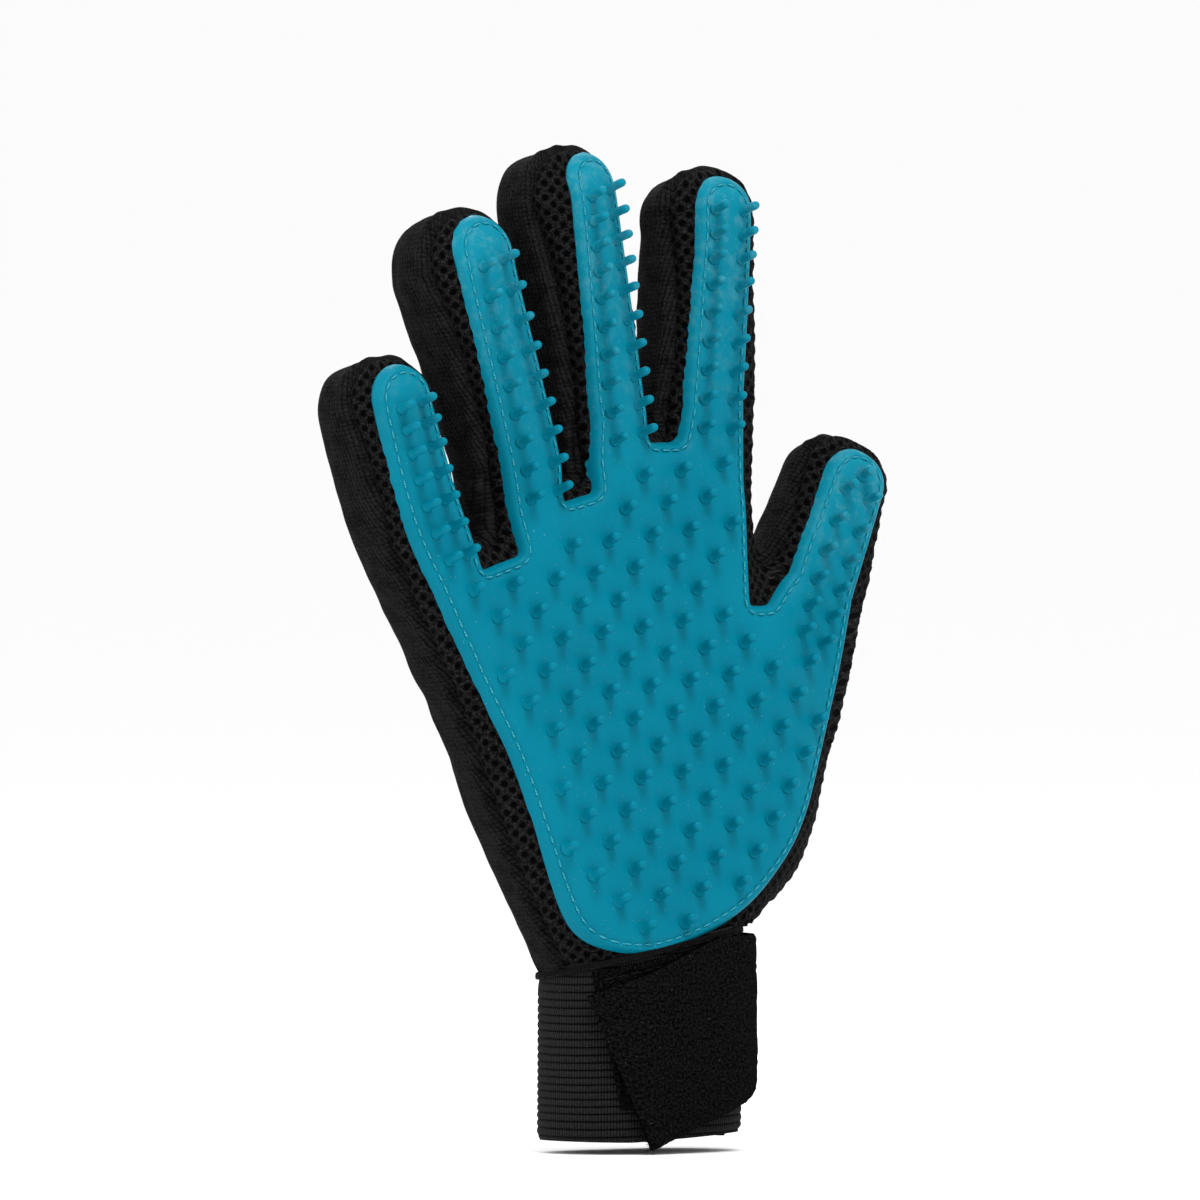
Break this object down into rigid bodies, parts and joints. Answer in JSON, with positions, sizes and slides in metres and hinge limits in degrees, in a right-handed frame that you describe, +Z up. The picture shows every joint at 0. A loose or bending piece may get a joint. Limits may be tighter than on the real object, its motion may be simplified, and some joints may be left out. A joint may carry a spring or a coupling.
{
  "type": "grooming glove",
  "caption": "Five-finger pet grooming glove for a right hand: a fabric shell with a rubber pad of soft nubs over palm and fingers, an elastic cuff and a wrist strap.",
  "frame": {"origin": "centre of the cuff's mouth, where the hand goes in", "axes": "+Z up the hand to the fingertips, +X towards the thumb side, -Y out of the palm"},
  "size_m": [0.1595, 0.0512, 0.2429],
  "materials": {
    "air_mesh": "open three-layer air mesh with hexagonal holes",
    "knit": "stretch knit with fine wales",
    "rubber": "satin moulded rubber",
    "elastic": "ribbed elastic webbing",
    "tape": "woven binding tape",
    "loop": "brushed loop pile",
    "velour": "velour pile on a woven strap",
    "hook": "moulded hooks"
  },
  "bodies": {
    "hand": {"palm_mesh_front": "air_mesh", "hand_knit_back": "knit", "palm_rubber_pad": "rubber", "elastic_cuff": "elastic", "wrist_seam_tape": "tape", "cuff_loop_patch": "loop", "strap_anchor": "velour"},
    "strap": {"wrist_strap": "velour", "strap_hook_patch": "hook"},
    "little_base": {"little_base_mesh_front": "air_mesh", "little_base_knit_back": "knit", "little_base_rubber_pad": "rubber"},
    "little_tip": {"little_tip_mesh_front": "air_mesh", "little_tip_knit_back": "knit", "little_tip_rubber_pad": "rubber"},
    "ring_base": {"ring_base_mesh_front": "air_mesh", "ring_base_knit_back": "knit", "ring_base_rubber_pad": "rubber"},
    "ring_tip": {"ring_tip_mesh_front": "air_mesh", "ring_tip_knit_back": "knit", "ring_tip_rubber_pad": "rubber"},
    "middle_base": {"middle_base_mesh_front": "air_mesh", "middle_base_knit_back": "knit", "middle_base_rubber_pad": "rubber"},
    "middle_tip": {"middle_tip_mesh_front": "air_mesh", "middle_tip_knit_back": "knit", "middle_tip_rubber_pad": "rubber"},
    "index_base": {"index_base_mesh_front": "air_mesh", "index_base_knit_back": "knit", "index_base_rubber_pad": "rubber"},
    "index_tip": {"index_tip_mesh_front": "air_mesh", "index_tip_knit_back": "knit", "index_tip_rubber_pad": "rubber"},
    "thumb_base": {"thumb_base_mesh_front": "air_mesh", "thumb_base_knit_back": "knit", "thumb_base_rubber_pad": "rubber"},
    "thumb_tip": {"thumb_tip_mesh_front": "air_mesh", "thumb_tip_knit_back": "knit", "thumb_tip_rubber_pad": "rubber"}
  },
  "joints": [
    {"name": "little_base_fold", "type": "hinge", "parent": "hand", "child": "little_base", "pos_m": [-0.06347, -0.00847, 0.15184], "axis": [0.995, 0.0035, 0.0998], "range_deg": [0, 60], "stiffness_Nm_per_rad": 0.02},
    {"name": "little_middle_fold", "type": "hinge", "parent": "little_base", "child": "little_tip", "pos_m": [-0.06877, -0.00712, 0.17086], "axis": [0.995, 0.0035, 0.0998], "range_deg": [0, 65], "stiffness_Nm_per_rad": 0.015},
    {"name": "ring_base_fold", "type": "hinge", "parent": "hand", "child": "ring_base", "pos_m": [-0.03405, -0.00753, 0.16682], "axis": [0.995, 0.0035, 0.0998], "range_deg": [0, 60], "stiffness_Nm_per_rad": 0.02},
    {"name": "ring_middle_fold", "type": "hinge", "parent": "ring_base", "child": "ring_tip", "pos_m": [-0.0406, -0.00561, 0.19384], "axis": [0.995, 0.0035, 0.0998], "range_deg": [0, 65], "stiffness_Nm_per_rad": 0.015},
    {"name": "middle_base_fold", "type": "hinge", "parent": "hand", "child": "middle_base", "pos_m": [-0.00779, -0.00666, 0.18049], "axis": [0.995, 0.0035, 0.0998], "range_deg": [0, 60], "stiffness_Nm_per_rad": 0.02},
    {"name": "middle_middle_fold", "type": "hinge", "parent": "middle_base", "child": "middle_tip", "pos_m": [-0.01173, -0.00474, 0.20776], "axis": [0.995, 0.0035, 0.0998], "range_deg": [0, 65], "stiffness_Nm_per_rad": 0.015},
    {"name": "index_base_fold", "type": "hinge", "parent": "hand", "child": "index_base", "pos_m": [0.0218, -0.00663, 0.18245], "axis": [0.995, 0.0035, 0.0998], "range_deg": [0, 60], "stiffness_Nm_per_rad": 0.02},
    {"name": "index_middle_fold", "type": "hinge", "parent": "index_base", "child": "index_tip", "pos_m": [0.025, -0.00472, 0.20984], "axis": [0.995, 0.0035, 0.0998], "range_deg": [0, 65], "stiffness_Nm_per_rad": 0.015},
    {"name": "thumb_base_fold", "type": "hinge", "parent": "hand", "child": "thumb_base", "pos_m": [0.05281, -0.00994, 0.13665], "axis": [0.9116, -0.0319, -0.4098], "range_deg": [0, 45], "stiffness_Nm_per_rad": 0.02},
    {"name": "thumb_middle_fold", "type": "hinge", "parent": "thumb_base", "child": "thumb_tip", "pos_m": [0.05927, -0.00894, 0.15125], "axis": [0.9116, -0.0319, -0.4098], "range_deg": [0, 55], "stiffness_Nm_per_rad": 0.015},
    {"name": "strap_opening", "type": "hinge", "parent": "hand", "child": "strap", "pos_m": [0.03055, 0, 0.034], "axis": [0, 0, 1], "range_deg": [0, 150]}
  ]
}
